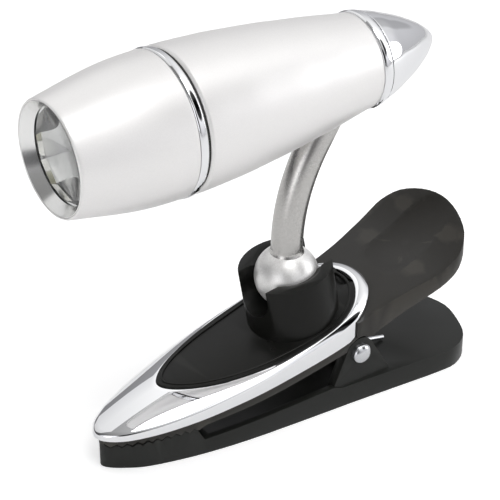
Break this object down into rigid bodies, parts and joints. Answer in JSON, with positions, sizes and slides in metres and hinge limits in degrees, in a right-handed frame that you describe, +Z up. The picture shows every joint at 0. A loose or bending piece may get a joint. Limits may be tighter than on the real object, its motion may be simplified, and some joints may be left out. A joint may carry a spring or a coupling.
{
  "type": "clip-on reading lamp",
  "caption": "Cordless reading lamp with a bullet-shaped silver head on a bent neck, held by a ball joint on a sprung black clip with a chrome rim",
  "frame": {"origin": "the middle of the outline box in X and Y, at the height of the clip's flat underside", "axes": "X runs along the clip and the lamp with the jaw tip and the lens toward -X, Y runs across, Z points up"},
  "size_m": [0.09, 0.0274, 0.0814],
  "materials": {
    "black_plastic": "satin moulded plastic, near black",
    "chrome": "bright plated, mirror-like",
    "silver_lacquer": "satin pearl-silver lacquer",
    "steel": "plain drawn and turned steel",
    "rubber": "black seal ring",
    "brass": "plated contact",
    "clear_lens": "clear polished lens",
    "mirror_coat": "vapour-coated reflector",
    "led_epoxy": "translucent moulded dome",
    "board": "green circuit board"
  },
  "bodies": {
    "clip_base": {"lower_jaw": "black_plastic", "pivot_pin": "steel", "pin_cap": "steel", "torsion_spring": "steel"},
    "clip_top": {"upper_jaw": "black_plastic", "bezel": "chrome", "cover": "black_plastic", "cover_screws": "steel"},
    "joint_ball": {"ball": "silver_lacquer"},
    "lamp": {"neck": "silver_lacquer", "ball_screw": "steel", "neck_screw": "steel", "barrel": "silver_lacquer", "centre_ring": "chrome", "seal_ring": "rubber", "tail_collar": "chrome", "tail_cone": "chrome", "battery_carrier": "black_plastic", "button_cells": "steel", "cell_spring": "steel", "front_contact": "brass"},
    "head": {"front_shell": "silver_lacquer", "lens_ring": "chrome", "lens": "clear_lens", "reflector": "mirror_coat", "led": "led_epoxy", "led_board": "board", "board_pin": "brass"}
  },
  "joints": [
    {"name": "clip_hinge", "type": "hinge", "parent": "clip_base", "child": "clip_top", "pos_m": [0.0145, 0, 0.0108], "axis": [0, 1, 0], "range_deg": [0, 25], "stiffness_Nm_per_rad": 0.14, "springref_deg": -49.85, "deforming": ["torsion_spring"]},
    {"name": "neck_tilt", "type": "hinge", "parent": "clip_top", "child": "joint_ball", "pos_m": [0.0045, 0, 0.0267], "axis": [0, 1, 0], "range_deg": [-50, 35]},
    {"name": "neck_turn", "type": "hinge", "parent": "joint_ball", "child": "lamp", "pos_m": [0.0045, 0, 0.0267], "axis": [0, 0, 1], "continuous": true},
    {"name": "head_twist", "type": "hinge", "parent": "lamp", "child": "head", "pos_m": [-0.02, 0, 0.0677], "axis": [1, 0, 0], "range_deg": [0, 60]}
  ]
}
